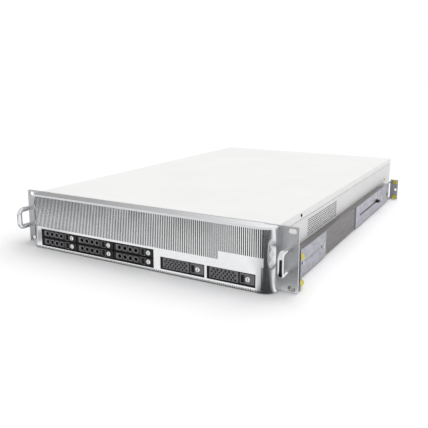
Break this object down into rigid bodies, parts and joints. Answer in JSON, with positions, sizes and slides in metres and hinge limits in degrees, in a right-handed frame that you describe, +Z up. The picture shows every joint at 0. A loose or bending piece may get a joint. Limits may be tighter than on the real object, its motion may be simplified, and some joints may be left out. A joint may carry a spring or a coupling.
{
  "type": "rack server",
  "caption": "Low flat rack server with a finned silver bezel, lockable lever drive trays, slotted ears with pull handles and telescoping side rails.",
  "frame": {"origin": "centre of the four ear slots, on the rear face of the ears that meets the rack posts", "axes": "+X to the right seen from the front, +Y to the rear into the rack, +Z up"},
  "size_m": [0.4826, 0.713, 0.0882],
  "materials": {
    "chassis_steel": "satin light grey paint on folded steel",
    "cover_paint": "satin near-white paint",
    "bezel_silver": "satin silver lacquer",
    "filter_mesh": "fine black mesh",
    "ear_metal": "satin",
    "handle_chrome": "polished",
    "cage_steel": "galvanised",
    "supply_steel": "galvanised",
    "board_green": "solder mask",
    "module_green": "solder mask",
    "sink_aluminium": "as extruded",
    "fan_plastic": "moulded black",
    "rail_steel": "galvanised",
    "rail_dark": "dark grey",
    "bracket_zinc": "galvanised",
    "pin_yellow_zinc": "yellow zinc plate",
    "tray_black": "moulded black",
    "lever_grey": "moulded grey",
    "lever_dark": "moulded charcoal",
    "release_dark": "moulded dark grey",
    "lock_chrome": "plated"
  },
  "bodies": {
    "server": {"chassis_base": "chassis_steel", "top_cover": "cover_paint", "front_bezel": "bezel_silver", "air_filter": "filter_mesh", "ear_left": "ear_metal", "ear_right": "ear_metal", "handle_left": "handle_chrome", "handle_right": "handle_chrome", "drive_cage": "cage_steel", "drive_backplane": "board_green", "motherboard": "board_green", "cpu_heatsinks": "sink_aluminium", "memory_modules": "module_green", "fan_frames": "fan_plastic", "power_supply": "supply_steel", "slot_covers": "cage_steel", "rail_inner_members": "rail_steel"},
    "tray_1": {"drive_tray_1": "tray_black"},
    "lever_1": {"tray_lever_1": "lever_dark"},
    "release_1": {"tray_release_1": "release_dark"},
    "lock_1": {"tray_lock_1": "lock_chrome"},
    "tray_2": {"drive_tray_2": "tray_black"},
    "lever_2": {"tray_lever_2": "lever_dark"},
    "release_2": {"tray_release_2": "release_dark"},
    "lock_2": {"tray_lock_2": "lock_chrome"},
    "tray_3": {"drive_tray_3": "tray_black"},
    "lever_3": {"tray_lever_3": "lever_dark"},
    "release_3": {"tray_release_3": "release_dark"},
    "lock_3": {"tray_lock_3": "lock_chrome"},
    "tray_4": {"drive_tray_4": "tray_black"},
    "lever_4": {"tray_lever_4": "lever_dark"},
    "release_4": {"tray_release_4": "release_dark"},
    "lock_4": {"tray_lock_4": "lock_chrome"},
    "tray_5": {"drive_tray_5": "tray_black"},
    "lever_5": {"tray_lever_5": "lever_dark"},
    "release_5": {"tray_release_5": "release_dark"},
    "lock_5": {"tray_lock_5": "lock_chrome"},
    "tray_6": {"drive_tray_6": "tray_black"},
    "lever_6": {"tray_lever_6": "lever_dark"},
    "release_6": {"tray_release_6": "release_dark"},
    "lock_6": {"tray_lock_6": "lock_chrome"},
    "tray_7": {"drive_tray_7": "tray_black"},
    "lever_7": {"tray_lever_7": "lever_grey"},
    "release_7": {"tray_release_7": "release_dark"},
    "lock_7": {"tray_lock_7": "lock_chrome"},
    "tray_8": {"drive_tray_8": "tray_black"},
    "lever_8": {"tray_lever_8": "lever_grey"},
    "release_8": {"tray_release_8": "release_dark"},
    "lock_8": {"tray_lock_8": "lock_chrome"},
    "rotor_1": {"fan_rotor_1": "fan_plastic"},
    "rotor_2": {"fan_rotor_2": "fan_plastic"},
    "rotor_3": {"fan_rotor_3": "fan_plastic"},
    "rail_left": {"rail_outer_left": "rail_dark", "rail_front_bracket_left": "bracket_zinc", "rail_pins_left": "pin_yellow_zinc"},
    "rail_rear_left": {"rail_rear_bracket_left": "bracket_zinc"},
    "rail_right": {"rail_outer_right": "rail_dark", "rail_front_bracket_right": "bracket_zinc", "rail_pins_right": "pin_yellow_zinc"},
    "rail_rear_right": {"rail_rear_bracket_right": "bracket_zinc"}
  },
  "joints": [
    {"name": "tray_1_slide", "type": "slide", "parent": "server", "child": "tray_1", "axis": [0, -1, 0], "range_m": [0, 0.08]},
    {"name": "lever_1_swing", "type": "hinge", "parent": "tray_1", "child": "lever_1", "pos_m": [-0.1859, -0.021, -0.0185], "axis": [0, 0, -1], "range_deg": [0, 70]},
    {"name": "release_1_press", "type": "slide", "parent": "tray_1", "child": "release_1", "axis": [0, 1, 0], "range_m": [0, 0.0015], "stiffness_N_per_m": 300},
    {"name": "lock_1_turn", "type": "hinge", "parent": "tray_1", "child": "lock_1", "pos_m": [-0.1263, -0.0225, -0.0185], "axis": [0, 1, 0], "range_deg": [0, 90]},
    {"name": "tray_2_slide", "type": "slide", "parent": "server", "child": "tray_2", "axis": [0, -1, 0], "range_m": [0, 0.08]},
    {"name": "lever_2_swing", "type": "hinge", "parent": "tray_2", "child": "lever_2", "pos_m": [-0.1859, -0.021, -0.0319], "axis": [0, 0, -1], "range_deg": [0, 70]},
    {"name": "release_2_press", "type": "slide", "parent": "tray_2", "child": "release_2", "axis": [0, 1, 0], "range_m": [0, 0.0015], "stiffness_N_per_m": 300},
    {"name": "lock_2_turn", "type": "hinge", "parent": "tray_2", "child": "lock_2", "pos_m": [-0.1263, -0.0225, -0.0319], "axis": [0, 1, 0], "range_deg": [0, 90]},
    {"name": "tray_3_slide", "type": "slide", "parent": "server", "child": "tray_3", "axis": [0, -1, 0], "range_m": [0, 0.08]},
    {"name": "lever_3_swing", "type": "hinge", "parent": "tray_3", "child": "lever_3", "pos_m": [-0.1121, -0.021, -0.0185], "axis": [0, 0, -1], "range_deg": [0, 70]},
    {"name": "release_3_press", "type": "slide", "parent": "tray_3", "child": "release_3", "axis": [0, 1, 0], "range_m": [0, 0.0015], "stiffness_N_per_m": 300},
    {"name": "lock_3_turn", "type": "hinge", "parent": "tray_3", "child": "lock_3", "pos_m": [-0.0525, -0.0225, -0.0185], "axis": [0, 1, 0], "range_deg": [0, 90]},
    {"name": "tray_4_slide", "type": "slide", "parent": "server", "child": "tray_4", "axis": [0, -1, 0], "range_m": [0, 0.08]},
    {"name": "lever_4_swing", "type": "hinge", "parent": "tray_4", "child": "lever_4", "pos_m": [-0.1121, -0.021, -0.0319], "axis": [0, 0, -1], "range_deg": [0, 70]},
    {"name": "release_4_press", "type": "slide", "parent": "tray_4", "child": "release_4", "axis": [0, 1, 0], "range_m": [0, 0.0015], "stiffness_N_per_m": 300},
    {"name": "lock_4_turn", "type": "hinge", "parent": "tray_4", "child": "lock_4", "pos_m": [-0.0525, -0.0225, -0.0319], "axis": [0, 1, 0], "range_deg": [0, 90]},
    {"name": "tray_5_slide", "type": "slide", "parent": "server", "child": "tray_5", "axis": [0, -1, 0], "range_m": [0, 0.08]},
    {"name": "lever_5_swing", "type": "hinge", "parent": "tray_5", "child": "lever_5", "pos_m": [-0.0383, -0.021, -0.0185], "axis": [0, 0, -1], "range_deg": [0, 70]},
    {"name": "release_5_press", "type": "slide", "parent": "tray_5", "child": "release_5", "axis": [0, 1, 0], "range_m": [0, 0.0015], "stiffness_N_per_m": 300},
    {"name": "lock_5_turn", "type": "hinge", "parent": "tray_5", "child": "lock_5", "pos_m": [0.0213, -0.0225, -0.0185], "axis": [0, 1, 0], "range_deg": [0, 90]},
    {"name": "tray_6_slide", "type": "slide", "parent": "server", "child": "tray_6", "axis": [0, -1, 0], "range_m": [0, 0.08]},
    {"name": "lever_6_swing", "type": "hinge", "parent": "tray_6", "child": "lever_6", "pos_m": [-0.0383, -0.021, -0.0319], "axis": [0, 0, -1], "range_deg": [0, 70]},
    {"name": "release_6_press", "type": "slide", "parent": "tray_6", "child": "release_6", "axis": [0, 1, 0], "range_m": [0, 0.0015], "stiffness_N_per_m": 300},
    {"name": "lock_6_turn", "type": "hinge", "parent": "tray_6", "child": "lock_6", "pos_m": [0.0213, -0.0225, -0.0319], "axis": [0, 1, 0], "range_deg": [0, 90]},
    {"name": "tray_7_slide", "type": "slide", "parent": "server", "child": "tray_7", "axis": [0, -1, 0], "range_m": [0, 0.08]},
    {"name": "lever_7_swing", "type": "hinge", "parent": "tray_7", "child": "lever_7", "pos_m": [0.0471, -0.021, -0.0288], "axis": [0, 0, -1], "range_deg": [0, 70]},
    {"name": "release_7_press", "type": "slide", "parent": "tray_7", "child": "release_7", "axis": [0, 1, 0], "range_m": [0, 0.0015], "stiffness_N_per_m": 300},
    {"name": "lock_7_turn", "type": "hinge", "parent": "tray_7", "child": "lock_7", "pos_m": [0.104, -0.0225, -0.0288], "axis": [0, 1, 0], "range_deg": [0, 90]},
    {"name": "tray_8_slide", "type": "slide", "parent": "server", "child": "tray_8", "axis": [0, -1, 0], "range_m": [0, 0.08]},
    {"name": "lever_8_swing", "type": "hinge", "parent": "tray_8", "child": "lever_8", "pos_m": [0.1231, -0.021, -0.0288], "axis": [0, 0, -1], "range_deg": [0, 70]},
    {"name": "release_8_press", "type": "slide", "parent": "tray_8", "child": "release_8", "axis": [0, 1, 0], "range_m": [0, 0.0015], "stiffness_N_per_m": 300},
    {"name": "lock_8_turn", "type": "hinge", "parent": "tray_8", "child": "lock_8", "pos_m": [0.18, -0.0225, -0.0288], "axis": [0, 1, 0], "range_deg": [0, 90]},
    {"name": "rotor_1_spin", "type": "hinge", "parent": "server", "child": "rotor_1", "pos_m": [-0.11, 0.172, -0.0018], "axis": [0, 1, 0], "continuous": true},
    {"name": "rotor_2_spin", "type": "hinge", "parent": "server", "child": "rotor_2", "pos_m": [0, 0.172, -0.0018], "axis": [0, 1, 0], "continuous": true},
    {"name": "rotor_3_spin", "type": "hinge", "parent": "server", "child": "rotor_3", "pos_m": [0.11, 0.172, -0.0018], "axis": [0, 1, 0], "continuous": true},
    {"name": "rail_left_slide", "type": "slide", "parent": "server", "child": "rail_left", "axis": [0, 1, 0], "range_m": [0, 0.4]},
    {"name": "rail_rear_left_adjust", "type": "slide", "parent": "rail_left", "child": "rail_rear_left", "axis": [0, 1, 0], "range_m": [0, 0.13]},
    {"name": "rail_right_slide", "type": "slide", "parent": "server", "child": "rail_right", "axis": [0, 1, 0], "range_m": [0, 0.4]},
    {"name": "rail_rear_right_adjust", "type": "slide", "parent": "rail_right", "child": "rail_rear_right", "axis": [0, 1, 0], "range_m": [0, 0.13]}
  ]
}
